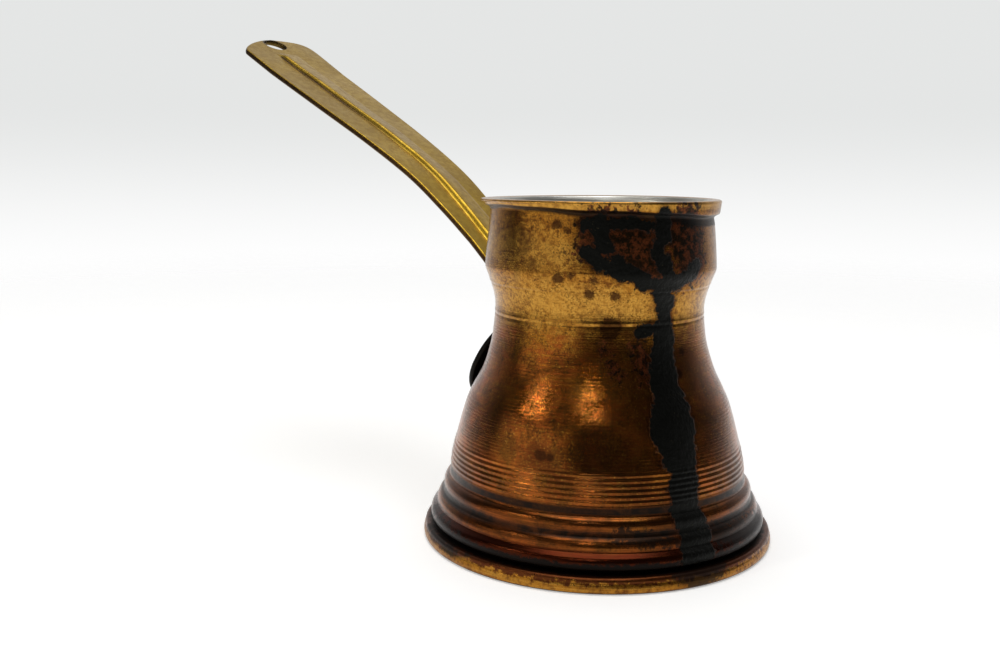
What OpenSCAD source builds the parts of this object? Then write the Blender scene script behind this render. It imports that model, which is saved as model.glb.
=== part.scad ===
// Turned brass coffee pot with a stepped foot, a waisted neck and a riveted strap handle.
// Origin: centre of the standing face. +Z is up and the handle points along -X.

/* [Pot] */
// Height from the standing face to the top of the rim
pot_h = 75; // [72:1:80]
// Diameter of the belly just above the foot
belly_d = 65.8; // [64:0.2:66.4]
// Diameter of the waist, the narrowest place
waist_d = 45.8; // [44:0.2:47]
// Height of the waist
waist_z = 51; // [50:0.5:52]
// Diameter of the collar above the waist
collar_d = 50.4; // [49:0.2:51]
// Diameter over the lip
rim_d = 51.9; // [51:0.1:53]
// Height of the lip
lip_h = 2.2; // [1.8:0.1:2.6]
// Wall thickness, measured level
wall = 1.8; // [1.4:0.1:2]

/* [Foot] */
// Diameter of the foot flange
flange_d = 78.2; // [76:0.2:80]
// Thickness of the foot flange
flange_h = 3.2; // [2.8:0.1:3.4]
// Thickness of the floor of the pot
floor_h = 2.2; // [1.6:0.1:2.6]
// Diameter of the upstand that fits inside the body
upstand_d = 63.9; // [63:0.1:64]
// Height of the top of the upstand
upstand_top = 5.35; // [5:0.05:5.6]
// Size of the solder fillet inside the joint
solder_size = 1; // [0.6:0.1:1.4]

/* [Handle] */
// Thickness of the strap
strap_t = 1.5; // [1.2:0.1:2]
// Width of the strap where it crosses the neck
strap_neck_w = 15.6; // [14:0.2:18]
// Width of the strap near its free end
strap_tip_w = 26.2; // [24:0.2:32]
// Reach of the free end from the axis of the pot
handle_reach = 131.3; // [120:0.1:150]
// Slope of the free end
handle_slope = 27.4; // [26:0.1:29]
// Length of the rounding of the free end on its blunter, +Y side
blunt_len = 11.7; // [9:0.1:14]
// Length of the rounding of the free end on its slimmer, -Y side
slim_len = 8.7; // [7:0.1:14]
// Diameter of the round pad on the shoulder
pad_d = 24.4; // [22:0.2:26]
// Height of the middle of the pad
pad_z = 35; // [34:0.2:36]
// Diameter of the hanging hole
hang_hole_d = 6.4; // [5:0.1:7]
// Distance from the hanging hole to the free end, along the strap
hang_hole_back = 4.6; // [4.4:0.1:8]
// Width of the rib along the strap
rib_w = 6; // [4:0.2:7]
// Height of the rib above the strap
rib_h = 0.9; // [0.5:0.1:1.2]

/* [Rivets] */
// Diameter of a rivet shank
shank_d = 3; // [2.6:0.1:3.4]
// Diameter of a rivet's outer head
head_d = 6.4; // [5.6:0.1:7]
// Height of a rivet's outer head
head_h = 1.5; // [1:0.1:2]
// Height of the rivet on the waist
rivet_z_top = 49.6; // [49:0.2:51]
// Height of the upper rivet on the pad
rivet_z_middle = 40.4; // [39.5:0.2:41]
// Height of the lower rivet on the pad
rivet_z_bottom = 30.6; // [30:0.2:32]

/* [Hidden] */
turn_fn = 180;
small_fn = 48;
curve_steps = 6;
slip = 0.05;

// Levels and radii of the body
lip_z = pot_h - lip_h;
neck_z = lip_z - 1.4;
collar_z = waist_z + 10.3;
belly_z = 15.2;
belly_r = belly_d / 2;
waist_r = waist_d / 2;
collar_r = collar_d / 2;
neck_r = collar_r - 0.8;
rim_r = rim_d / 2;
flange_r = flange_d / 2;
upstand_r = upstand_d / 2;
seat_r = upstand_r + slip;
seat_top = upstand_top + slip;
bore_r = belly_r - wall;
skirt_z = flange_h + 1.1;
shoulder_drop = waist_z - belly_z;
shoulder_run = belly_r - waist_r;

// One point of a Catmull-Rom curve through b and c, at t from 0 to 1
function blend(a, b, c, d, t) =
    0.5 * (2 * b + (c - a) * t + (2 * a - 5 * b + 4 * c - d) * t * t
           + (3 * b - a - 3 * c + d) * t * t * t);
// A smooth curve through all the given points
function smooth(p, steps) = concat(
    [for (i = [0 : len(p) - 2], k = [0 : steps - 1])
        blend(p[max(i - 1, 0)], p[i], p[i + 1], p[min(i + 2, len(p) - 1)], k / steps)],
    [p[len(p) - 1]]);
// Points along an arc: centre, radius, first and last angle
function arc(c, r, a0, a1, n) =
    [for (i = [0 : n]) c + r * [cos(a0 + (a1 - a0) * i / n), sin(a0 + (a1 - a0) * i / n)]];
function reversed(p) = [for (i = [len(p) - 1 : -1 : 0]) p[i]];
// Height and radius swapped round, so that lookup() finds a radius from a height
function by_height(p) = [for (q = p) [q[1], q[0]]];

// Outer curve of the belly, shoulder, waist and collar, as [radius, height]
body_curve = smooth([
    [belly_r, belly_z],
    [belly_r - 0.4, belly_z + 3.3],
    [belly_r - 0.14 * shoulder_run, belly_z + 0.21 * shoulder_drop],
    [belly_r - 0.35 * shoulder_run, belly_z + 0.415 * shoulder_drop],
    [waist_r + 0.48 * shoulder_run, belly_z + 0.52 * shoulder_drop],
    [waist_r + 0.29 * shoulder_run, belly_z + 0.622 * shoulder_drop],
    [waist_r + 0.15 * shoulder_run, belly_z + 0.73 * shoulder_drop],
    [waist_r + 0.055 * shoulder_run, belly_z + 0.84 * shoulder_drop],
    [waist_r, waist_z],
    [waist_r + 0.35, waist_z + 3.4],
    [collar_r - 0.75, waist_z + 7.1],
    [collar_r - 0.1, waist_z + 8.8],
    [collar_r, collar_z],
    [collar_r - 0.3, neck_z - 5.2],
    [neck_r, neck_z]], curve_steps);
body_table = by_height(body_curve);
function body_r(z) = lookup(z, body_table);
function body_lean(z) = atan((body_r(z - 0.4) - body_r(z + 0.4)) / 0.8);

// Turned rings of the foot, from the bottom up, as [radius, height]
foot_rings = concat(
    [[36.1, flange_h], [36.1, flange_h + 0.35], [37.2, skirt_z]],
    arc([35.4, skirt_z + 1], 1.9, 2, 40, 4),
    [[36, skirt_z + 2.6]],
    arc([33.6, skirt_z + 3.6], 2.25, -10, 62, 6),
    [[34.35, skirt_z + 6.2], [34.3, skirt_z + 6.7]],
    arc([32.3, skirt_z + 7.4], 2.05, -8, 66, 6),
    [[32.95, skirt_z + 9.9]]);

// Path of the pot side of the strap, from the pad to the free end, as [reach, height]
flat_run = 21.3;
tip_flat = flat_run / cos(handle_slope);
bend_end = [handle_reach - flat_run, waist_z + 57.1];
pad_rise = 0.44 * pad_d;
pad_low_z = pad_z - pad_rise;
pad_path = [for (z = [pad_low_z : 1.2 : waist_z + 1.4]) [body_r(z) + slip, z]];
bend_path = smooth([
    [body_r(waist_z + 2.4) + slip, waist_z + 2.4],
    [waist_r + 0.95, waist_z + 4.8],
    [waist_r + 2.5, waist_z + 6.95],
    [waist_r + 5, waist_z + 9.3],
    [waist_r + 10.9, waist_z + 14.2],
    [waist_r + 19.8, waist_z + 21.2],
    [waist_r + 31, waist_z + 29],
    [waist_r + 46.8, waist_z + 37.6],
    [waist_r + 67.1, waist_z + 47.5],
    bend_end], curve_steps);
tip_end = bend_end + tip_flat * [cos(handle_slope), sin(handle_slope)];
flat_path = [bend_end + 4 * [cos(handle_slope), sin(handle_slope)], tip_end];
strap_path = concat(pad_path, bend_path, flat_path);

// Direction of the path at point i, and the path moved out from the pot side by d
function heading(p, i) =
    let (a = p[max(i - 1, 0)], b = p[min(i + 1, len(p) - 1)]) atan2(b[1] - a[1], b[0] - a[0]);
function moved(p, d) =
    [for (i = [0 : len(p) - 1]) p[i] + d * [sin(heading(p, i)), -cos(heading(p, i))]];

// Half the strap's width at a reach from the axis
widen_from = 33.8;
flare = 1.6;
blunt_power = 4.75;
slim_power = 1.4;
function flare_part(x) = max(0, x - widen_from) / (handle_reach - widen_from);
function strap_half(x) =
    (strap_neck_w + (strap_tip_w - strap_neck_w) * flare_part(x) * (flare - (flare - 1) * flare_part(x)))
    / 2;
// Plan of the edge on one side: the free end is part of a superellipse of the given length and power
function side_plan(len, power) = concat(
    [for (x = [widen_from - 14 : 6 : handle_reach - len - 2]) [-x, strap_half(x)]],
    [for (a = [0 : 6 : 90])
        let (x = handle_reach - len + len * pow(sin(a), 2 / power))
            [-x, strap_half(x) * pow(cos(a), 2 / power)]]);
plan_outline = concat(side_plan(blunt_len, blunt_power),
                      [for (p = reversed(side_plan(slim_len, slim_power))) [p[0], -p[1]]]);

hole_at = tip_end - hang_hole_back * [cos(handle_slope), sin(handle_slope)];
rib_end_x = handle_reach - 13.5;

// Moves to the body's surface at height z on the handle's side, with +Z pointing outwards
module at_surface(z) {
    translate([-body_r(z), 0, z])
        rotate([0, body_lean(z) - 90, 0])
            children();
}

// A hole for a rivet shank, through the strap and the wall
module rivet_hole(z) {
    at_surface(z)
        translate([0, 0, -wall - 2])
            cylinder(h = wall + strap_t + 5, d = shank_d + 2 * slip, $fn = small_fn);
}

module rivet_holes() {
    for (z = [rivet_z_top, rivet_z_middle, rivet_z_bottom])
        rivet_hole(z);
}

// The turned shell, open at the bottom, where the bottom plate fits
module pot_body() {
    inner_curve = [for (p = body_curve) if (p[1] > belly_z + 1) [p[0] - wall, p[1]]];
    lip = [[neck_r - 0.1, lip_z - 0.9],
           [neck_r + 0.15, lip_z - 0.35],
           [rim_r - 0.75, lip_z],
           [rim_r - 0.35, lip_z + 0.15],
           [rim_r, pot_h - 0.5],
           [rim_r - 0.12, pot_h - 0.15],
           [rim_r - 0.45, pot_h],
           [rim_r - 1.9, pot_h],
           [rim_r - 2.6, pot_h - 0.4],
           [neck_r - wall, lip_z - 0.6]];
    outline = concat(foot_rings, body_curve, lip, reversed(inner_curve),
                     [[bore_r, belly_z], [bore_r, seat_top], [seat_r, seat_top], [seat_r, flange_h]]);
    color("#a9762f")
        difference() {
            rotate_extrude($fn = turn_fn)
                polygon(outline);
            rivet_holes();
        }
}

// The turned disc that closes the pot: a flange to stand on and an upstand inside the body
module bottom_plate() {
    outline = concat(
        [[0, 0], [flange_r - 0.7, 0]],
        arc([flange_r - 0.7, 0.7], 0.7, -70, 0, 3),
        [[flange_r, 1.2], [flange_r - 0.35, flange_h - 1]],
        arc([flange_r - 1.2, flange_h - 0.8], 0.8, 10, 90, 4),
        [[upstand_r, flange_h],
         [upstand_r, upstand_top],
         [bore_r - solder_size, upstand_top],
         [bore_r - solder_size - 0.6, floor_h],
         [0, floor_h]]);
    color("#b88a3a")
        rotate_extrude($fn = turn_fn)
            polygon(outline);
}

// The run of solder in the corner between the upstand and the wall
module solder_seam() {
    corner = [bore_r, upstand_top];
    color("#b9bab6")
        rotate_extrude($fn = turn_fn)
            polygon(concat(
                [corner],
                arc(corner + [-solder_size, solder_size], solder_size, -90, 0, 5)));
}

// The cast strap with its round pad, rib and hanging hole
module handle() {
    pot_side = strap_path;
    far_side = moved(strap_path, strap_t);
    rib_path = concat([for (p = bend_path) if (p[1] > waist_z + 8.5) p], flat_path);
    color("#a8832f")
        difference() {
            union() {
                intersection() {
                    side_slab(concat(pot_side, reversed(far_side)), strap_tip_w + 2);
                    union() {
                        translate([0, 0, waist_z + 2])
                            linear_extrude(height = 90)
                                polygon(plan_outline);
                        pad_outline();
                    }
                }
                intersection() {
                    side_slab(concat(moved(rib_path, -rib_h), reversed(moved(rib_path, 0.4))), rib_w);
                    translate([0, 0, waist_z + 2])
                        linear_extrude(height = 90)
                            rib_outline();
                }
            }
            translate([-hole_at[0], 0, hole_at[1]])
                rotate([0, handle_slope, 0])
                    cylinder(h = 4 * strap_t, d = hang_hole_d, center = true, $fn = small_fn);
            rivet_holes();
        }
}

// A side view, given as [reach, height], made w wide and turned towards -X
module side_slab(outline, w) {
    rotate([90, 0, 0])
        linear_extrude(height = w, center = true)
            mirror([1, 0])
                polygon(outline);
}

// The pad and the narrow strap over the waist, seen along X
module pad_outline() {
    translate([-60, 0, 0])
        rotate([90, 0, 90])
            linear_extrude(height = 45)
                union() {
                    polygon([for (a = [0 : 6 : 354])
                        [pad_d / 2 * cos(a), pad_z + pad_rise * sin(a)]]);
                    translate([-strap_neck_w / 2, pad_z])
                        square([strap_neck_w, waist_z + 2.5 - pad_z]);
                }
}

// The rib seen from above, with a round end
module rib_outline() {
    translate([-rib_end_x, 0])
        circle(d = rib_w, $fn = small_fn);
    translate([-rib_end_x, -rib_w / 2])
        square([rib_end_x - 20, rib_w]);
}

// A shallow dome with its flat side at z = 0
module dome(d, h) {
    r = (d * d / 4 + h * h) / (2 * h);
    lean = asin(d / 2 / r);
    rotate_extrude($fn = small_fn)
        polygon(concat([[0, 0]], arc([0, h - r], r, 90 - lean, 90, 8)));
}

// A rivet through the strap and the wall, domed on the outside and flatter inside
module rivet(z) {
    wall_here = wall * cos(body_lean(z));
    inner_face = -wall_here - 0.25;
    color("#b58f3c")
        at_surface(z)
            union() {
                translate([0, 0, inner_face - 0.2])
                    cylinder(h = strap_t + slip + 0.3 - inner_face, d = shank_d, $fn = small_fn);
                translate([0, 0, strap_t + 2 * slip])
                    dome(head_d, head_h);
                translate([0, 0, inner_face])
                    rotate([180, 0, 0])
                        dome(head_d - 0.8, head_h - 0.5);
            }
}

module rivet_waist() {
    rivet(rivet_z_top);
}

module rivet_pad_upper() {
    rivet(rivet_z_middle);
}

module rivet_pad_lower() {
    rivet(rivet_z_bottom);
}

pot_body();
bottom_plate();
solder_seam();
handle();
rivet_waist();
rivet_pad_upper();
rivet_pad_lower();
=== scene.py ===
import math

import bmesh
import bpy
import numpy as np
from mathutils import Matrix, Vector, noise


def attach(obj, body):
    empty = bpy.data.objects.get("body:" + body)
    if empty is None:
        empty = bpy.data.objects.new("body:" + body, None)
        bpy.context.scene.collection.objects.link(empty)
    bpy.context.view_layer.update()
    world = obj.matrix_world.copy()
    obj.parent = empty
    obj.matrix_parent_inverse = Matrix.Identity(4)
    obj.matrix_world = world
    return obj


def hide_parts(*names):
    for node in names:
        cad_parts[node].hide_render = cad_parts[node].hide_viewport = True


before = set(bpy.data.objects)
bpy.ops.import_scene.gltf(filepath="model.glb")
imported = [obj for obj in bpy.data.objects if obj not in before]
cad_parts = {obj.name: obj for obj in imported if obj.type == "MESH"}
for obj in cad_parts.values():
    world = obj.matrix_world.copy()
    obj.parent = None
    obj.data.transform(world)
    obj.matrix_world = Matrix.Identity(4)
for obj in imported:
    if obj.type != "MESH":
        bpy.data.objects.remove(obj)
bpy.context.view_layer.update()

MM = 0.001


# ---------------------------------------------------------------------------------------------
# Curves and small helpers. Lengths are in millimetres until a mesh is made.
# ---------------------------------------------------------------------------------------------
def smooth_curve(points, steps):
    """A Catmull-Rom curve through all the points."""
    p = np.array(points, float)
    out = []
    for i in range(len(p) - 1):
        a, b, c, d = p[max(i - 1, 0)], p[i], p[i + 1], p[min(i + 2, len(p) - 1)]
        for k in range(steps):
            t = k / steps
            out.append(0.5 * (2 * b + (c - a) * t + (2 * a - 5 * b + 4 * c - d) * t * t
                              + (3 * b - a - 3 * c + d) * t ** 3))
    out.append(p[-1])
    return np.array(out)


def arc(centre, radius, first, last, count):
    a = np.radians(np.linspace(first, last, count + 1))
    return np.stack([centre[0] + radius * np.cos(a), centre[1] + radius * np.sin(a)], 1)


def resample(points, step):
    """Points along the same line at an even spacing of about step."""
    seg = np.hypot(*np.diff(points, axis=0).T)
    s = np.concatenate([[0], np.cumsum(seg)])
    keep = np.concatenate([[True], seg > 1e-9])
    s, points = s[keep], points[keep]
    at = np.linspace(0, s[-1], max(2, int(round(s[-1] / step)) + 1))
    return np.stack([np.interp(at, s, points[:, i]) for i in range(points.shape[1])], 1)


def ramp(x, low, high):
    """0 below low, 1 above high, smooth in between."""
    t = np.clip((x - low) / (high - low), 0, 1)
    return t * t * (3 - 2 * t)


def bell(x, centre, width):
    return np.exp(-((x - centre) / width) ** 2)


def wobble(points, scale, seed):
    """Smooth noise, about -1 to 1, at points given in millimetres."""
    shift = Vector((seed * 17.3, seed * 5.1, seed * 9.7))
    return np.array([noise.noise(Vector(p) * scale + shift) for p in points])


def new_mesh(name, verts, faces, slots=None):
    """A smooth-shaded mesh object from points in millimetres. slots: a material index for each face."""
    mesh = bpy.data.meshes.new(name)
    mesh.from_pydata((np.asarray(verts) * MM).tolist(), [], [list(map(int, f)) for f in faces])
    mesh.polygons.foreach_set("use_smooth", [True] * len(mesh.polygons))
    if slots is not None:
        mesh.polygons.foreach_set("material_index", [int(i) for i in slots])
    mesh.update()
    obj = bpy.data.objects.new(name, mesh)
    bpy.context.scene.collection.objects.link(obj)
    return obj


def add_field(obj, name, values):
    """A number at each vertex, which the material reads."""
    field = obj.data.attributes.new(name, "FLOAT", "POINT")
    field.data.foreach_set("value", np.asarray(values, np.float32))


def turned(name, profile, count, shape=None, slot_of=None, closed=True):
    """A solid of revolution from a profile of [radius, height] rows. Points on the axis become one vertex.
    shape(r, z, angle) gives the changed radius and height."""
    n = len(profile)
    angles = np.linspace(0, 2 * math.pi, count, endpoint=False)
    verts, rows = [], []
    total = 0
    for r, z in profile:
        if r < 1e-6:
            verts.append([[0, 0, z]])
            rows.append(np.full(count, total))
            total += 1
        else:
            rr, zz = np.full(count, r), np.full(count, z)
            if shape is not None:
                rr, zz = shape(rr, zz, angles)
            verts.append(np.stack([rr * np.cos(angles), rr * np.sin(angles), zz], 1))
            rows.append(total + np.arange(count))
            total += count
    faces, slots = [], []
    last = n if closed else n - 1
    for i in range(last):
        a, b = rows[i], rows[(i + 1) % n]
        slot = slot_of(profile[i], profile[(i + 1) % n]) if slot_of else 0
        for k in range(count):
            m = (k + 1) % count
            face = [a[k], a[m], b[m], b[k]]
            face = [v for j, v in enumerate(face) if v != face[j - 1]]
            if len(face) > 2:
                faces.append(face)
                slots.append(slot)
    return new_mesh(name, np.concatenate([np.array(v, float) for v in verts]), faces, slots)


# ---------------------------------------------------------------------------------------------
# The pot's measures, as in the CAD model
# ---------------------------------------------------------------------------------------------
POT_H, LIP_Z, NECK_Z = 75.0, 72.8, 71.4
BELLY_R, WAIST_R, COLLAR_R, RIM_R, NECK_R = 32.9, 22.9, 25.2, 25.95, 24.4
BELLY_Z, WAIST_Z, COLLAR_Z = 15.2, 51.0, 61.3
WALL, BORE_R, SEAT_R, SEAT_TOP, SKIRT_Z = 1.8, 31.1, 32.0, 5.4, 4.3
FLANGE_R, FLANGE_H, FLOOR_H, UPSTAND_R, UPSTAND_TOP = 39.1, 3.2, 2.2, 31.95, 5.35
STRAP_T, SLIP = 1.5, 0.05

BODY_CURVE = smooth_curve([
    [BELLY_R, BELLY_Z], [BELLY_R - 0.4, 18.5], [BELLY_R - 1.4, 22.72], [BELLY_R - 3.5, 30.06],
    [WAIST_R + 4.8, 33.82], [WAIST_R + 2.9, 37.47], [WAIST_R + 1.5, 41.33], [WAIST_R + 0.55, 45.27],
    [WAIST_R, WAIST_Z], [WAIST_R + 0.35, 54.4], [COLLAR_R - 0.75, 58.1], [COLLAR_R - 0.1, 59.8],
    [COLLAR_R, COLLAR_Z], [COLLAR_R - 0.3, 66.2], [NECK_R, NECK_Z]], 24)


def body_r(z):
    return np.interp(z, BODY_CURVE[:, 1], BODY_CURVE[:, 0])


def body_lean(z):
    return math.atan((float(body_r(z - 0.4)) - float(body_r(z + 0.4))) / 0.8)


# ---------------------------------------------------------------------------------------------
# Stains and burns, patches of painted shade, and gold with painted highlights: capsules on the
# unrolled surface, as (azimuth 1, height 1, azimuth 2, height 2, radius), in degrees and
# millimetres. A spot is (azimuth, height, radius). Azimuth 180 is the handle's side.
# ---------------------------------------------------------------------------------------------
COFFEE = [
    (-57, 70.4, -50, 71.3, 1.2), (-50, 70.5, -27, 70.5, 1.1), (-50, 69, -48, 66.5, 1.8),
    (-56, 64.6, -50, 62.8, 1.4), (-50, 62.8, -40, 61, 1.8), (-41, 62.6, -29, 59.4, 1.8),
    (-29, 59, -18, 58.4, 1.3), (-20, 72, -19.5, 68.4, 1.9), (-23, 67, -20.5, 62, 1.1),
    (-19, 63.4, -15, 57.4, 1.5), (-12, 58.3, -2, 60.6, 1.8), (-2, 60.6, 1, 62.5, 1.3),
    (-19, 57.3, -15.5, 54.2, 2.1), (-15.5, 54, -13.5, 50, 1.6), (-27.5, 49.1, -18, 49.3, 1.6),
    (-15.2, 48, -16.2, 43, 2.9), (-16.2, 43, -17, 37.2, 3.2), (-17, 37, -17.5, 33, 3.7),
    (-17.5, 32, -18.2, 28.7, 4.9), (-18, 28.5, -17.5, 24, 4.2), (-17, 23, -17.5, 13, 3.3),
    (-15, 11.5, -16, 5.5, 3.6)]
SCORCH = [
    (-45, 71.4, 8, 71.0, 0.6), (-6, 8.6, 24, 6.5, 2.3),
    (-42, 10.4, -23, 9, 1.2), (-125, 6.2, -92, 4.8, 0.9), (-122, 3.2, -98, 2.6, 0.9)]
BURNT = [
    (-50, 68.0, -30, 66, 5.5), (-7, 68.7, -4, 63.5, 6.0), (-33, 63.5, -23, 61.5, 4.5),
    (-46, 45, -40, 40, 1.0), (-30, 46, -27, 40, 1.5)]
SPOTS = [
    (-44.2, 49.6, 2.2), (-71, 24.8, 0.8), (-67, 24.4, 0.6), (-55, 56.4, 0.8), (-42.7, 56.2, 0.8),
    (-69.4, 59.5, 0.9), (-63.6, 60.3, 0.6), (-52.7, 59.5, 0.6),
    (-71, 70.4, 0.7), (-60.6, 70.5, 0.7), (-65.2, 69, 0.8), (-62, 66.3, 0.4),
    (-8, 40, 0.9), (-3, 44, 0.7), (70, 62, 1.2), (95, 40, 1.6), (130, 66, 0.9), (150, 30, 1.3)]
# Patches of painted shade, where the brass lies in shade
SHADE = [
    (-88, 68, -86, 62, 1.6), (-46, 47, -24, 45, 3.5), (-30, 40, -26, 33, 4), (-52, 26, -38, 22, 5),
    (-34, 19, -26, 15, 4), (-4, 44, 6, 36, 4), (4, 30, 14, 18, 5), (-93, 29, -97, 32, 3),
    (-70, 24, -62, 20, 2.5), (-116, 16, -104, 12, 3), (60, 36, 75, 22, 6),
    (120, 30, 140, 24, 6), (-160, 38, -150, 24, 6)]
# Gold round the waist and collar, partly painted light: the first two capsules are painted highlights on
# the belly, and the gold on the left of the waist and collar is a painted reflection
GOLD_AND_HIGHLIGHT = [
    (-86, 37.5, -84, 32, 0.4), (-57, 38, -54, 32, 0.8), (-122, 55, -28, 53.4, 3.6),
    (-128, 66, -62, 64.5, 2.4), (2, 53, 40, 54, 3.2), (60, 55, 110, 53.5, 2.8)]


def capsule_distance(azimuth, z, capsules):
    """Distance in millimetres, along the surface, to the nearest of the capsules; negative inside."""
    best = np.full(len(z), 99.0)
    r = body_r(np.clip(z, BELLY_Z, NECK_Z))
    for a1, z1, a2, z2, radius in capsules:
        px = np.radians((azimuth - a1 + 180) % 360 - 180) * r
        dx, dz = math.radians(a2 - a1) * r, z2 - z1
        t = np.clip((px * dx + (z - z1) * dz) / (dx * dx + dz * dz + 1e-9), 0, 1)
        best = np.minimum(best, np.hypot(px - t * dx, z - z1 - t * dz) - radius)
    return best


def paint_turned(obj):
    """The stain, painted shade and painted highlight fields of a turned piece, from where each vertex is.
    """
    co = np.array([v.co for v in obj.data.vertices]) / MM
    azimuth, z = np.degrees(np.arctan2(co[:, 1], co[:, 0])), co[:, 2]
    wander = 1.0 * wobble(co, 0.33, 3) + 0.25 * wobble(co, 0.8, 4)
    add_field(obj, "coffee", capsule_distance(azimuth, z, COFFEE) + wander)
    add_field(obj, "scorch", capsule_distance(azimuth, z, SCORCH) + wander)
    add_field(obj, "burnt", capsule_distance(azimuth, z, BURNT) + 1.5 * wander)
    dots = [(a, h, a + 0.5, h, r) for a, h, r in SPOTS]
    add_field(obj, "spots", capsule_distance(azimuth, z, dots) + 0.5 * wander)
    add_field(obj, "gold_and_highlight", capsule_distance(azimuth, z, GOLD_AND_HIGHLIGHT) + 2 * wander)
    add_field(obj, "shade", capsule_distance(azimuth, z, SHADE) + 3 * wander)


# ---------------------------------------------------------------------------------------------
# The turned body
# ---------------------------------------------------------------------------------------------
FOOT_RINGS = np.concatenate([
    [[36.1, FLANGE_H + 0.02], [36.1, 3.5], [36.35, 3.75], [37.1, SKIRT_Z - 0.05]],
    arc((35.4, SKIRT_Z + 1), 1.9, -20, 42, 10),
    arc((33.6, SKIRT_Z + 3.6), 2.25, -14, 66, 18),
    [[34.38, SKIRT_Z + 6.1], [34.3, SKIRT_Z + 6.5]],
    arc((32.3, SKIRT_Z + 7.4), 2.05, -10, 68, 16),
    [[32.95, SKIRT_Z + 9.8]]])
LIP = np.array([
    [NECK_R - 0.05, LIP_Z - 1.0], [NECK_R + 0.02, LIP_Z - 0.55], [NECK_R + 0.4, LIP_Z - 0.3],
    [RIM_R - 0.85, LIP_Z - 0.12], [RIM_R - 0.5, LIP_Z + 0.02], [RIM_R - 0.34, LIP_Z + 0.3],
    [RIM_R - 0.12, POT_H - 0.95], [RIM_R, POT_H - 0.45], [RIM_R - 0.08, POT_H - 0.2],
    [RIM_R - 0.28, POT_H - 0.05], [RIM_R - 0.6, POT_H], [RIM_R - 1.6, POT_H],
    [RIM_R - 2.1, POT_H - 0.08], [RIM_R - 2.5, POT_H - 0.35], [RIM_R - 2.9, POT_H - 1.1],
    [NECK_R - WALL + 0.05, LIP_Z - 0.6]])
INNER_WALL = np.array([[r - WALL, z] for r, z in BODY_CURVE[::-1] if z > BELLY_Z + 1])
OUTER_PROFILE = resample(np.concatenate([FOOT_RINGS, BODY_CURVE[1:], LIP]), 0.2)
INNER_PROFILE = resample(np.concatenate([
    LIP[-1:], INNER_WALL, [[BORE_R, BELLY_Z], [BORE_R, SEAT_TOP + 0.02]]]), 0.8)[1:]
SEAT_PROFILE = np.array([[SEAT_R, SEAT_TOP], [SEAT_R, FLANGE_H + 0.02]])
BODY_PROFILE = np.concatenate([OUTER_PROFILE, INNER_PROFILE, SEAT_PROFILE])
BEAD_DEPTH, BEAD_PITCH = 0.12, 1.06
FINE_DEPTH, FINE_PITCH = 0.009, 0.62
GROOVE_Z = (49.9, 56.6)
LIP_RAISED = 0.9
THIN_LIP_AT = -140  # the azimuth in degrees where the lip is thinnest


def lathe_marks(z):
    """How far the turned surface stands out, by height."""
    beads = BEAD_DEPTH * np.sin((z - 16.4) / BEAD_PITCH * 2 * math.pi + 1.57)
    beads = beads * ramp(z, 15.6, 16.2) * (1 - ramp(z, 21.2, 22.4))
    fine = FINE_DEPTH * np.sin(z * 2 * math.pi / FINE_PITCH + 3 * np.sin(z * 0.7))
    fine = fine * ramp(z, 21, 23) * (1 - ramp(z, 46, 50))
    grooves = -0.10 * (bell(z, GROOVE_Z[0], 0.22) + bell(z, GROOVE_Z[1], 0.2))
    ridges = 0.05 * bell(z, GROOVE_Z[1] + 0.5, 0.25) + 0.05 * bell(z, GROOVE_Z[0] + 0.6, 0.25)
    return beads + fine + (grooves + ridges)


def from_thin_lip(angle):
    """Degrees round from the thinnest place of the lip, from -180 to 180."""
    return (np.degrees(angle) - THIN_LIP_AT + 180) % 360 - 180


def lip_drop(angle):
    """How much lower than average the underside of the lip lies: thin on one side, deep on the other."""
    away = np.abs(from_thin_lip(angle))
    waves = 0.10 * np.sin(5 * angle + 0.6) + 0.06 * np.sin(11 * angle)
    return -LIP_RAISED + 1.9 * ramp(away, 40, 180) + waves


def body_shape(r, z, angle):
    """Hand finishing: tool marks, a slightly uneven wall and a lip that is deeper on one side."""
    outside = r > body_r(np.clip(z, BELLY_Z, NECK_Z)) - 0.6 * WALL
    on_wall = outside & (z > BELLY_Z - 0.2) & (z < NECK_Z)
    r = r + np.where(on_wall, lathe_marks(z), 0)
    uneven = (0.09 * np.sin(2 * angle + 0.13 * z) + 0.06 * np.sin(3 * angle - 0.21 * z + 1)
              + 0.03 * np.sin(7 * angle + 0.4 * z))
    r = r + uneven * ramp(z, 6, 14) * (1 - 0.5 * ramp(z, 66, 72))
    not_lining = r > NECK_R - 0.6
    low_lip = ramp(z, LIP_Z - 3.2, LIP_Z - 0.6) * (1 - ramp(z, LIP_Z + 0.3, POT_H - 0.25))
    low_lip = low_lip * not_lining
    flare = 0.5 * bell(from_thin_lip(angle), 0, 50)
    r = r + flare * ramp(z, LIP_Z - 0.2, POT_H - 0.4) * not_lining
    z = z - lip_drop(angle) * low_lip
    z = z - 0.06 * (np.sin(2 * angle + 1) + 1) * ramp(z, POT_H - 1.2, POT_H - 0.2)
    return r, z


def body_slot(a, b):
    """0 outside and 1 on the tinned inside."""
    r, z = (a[0] + b[0]) / 2, (a[1] + b[1]) / 2
    if z > POT_H - 0.5:
        return 1 if r < RIM_R - 2.2 else 0
    return 1 if r < body_r(np.clip(z, BELLY_Z, NECK_Z)) - 0.6 * WALL and z > SEAT_TOP else 0


body = turned("pot_shell", BODY_PROFILE, 300, body_shape, body_slot)
paint_turned(body)
body_xy = np.array([v.co[:2] for v in body.data.vertices])
add_field(body, "drop", lip_drop(np.arctan2(body_xy[:, 1], body_xy[:, 0])) + LIP_RAISED)

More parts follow.
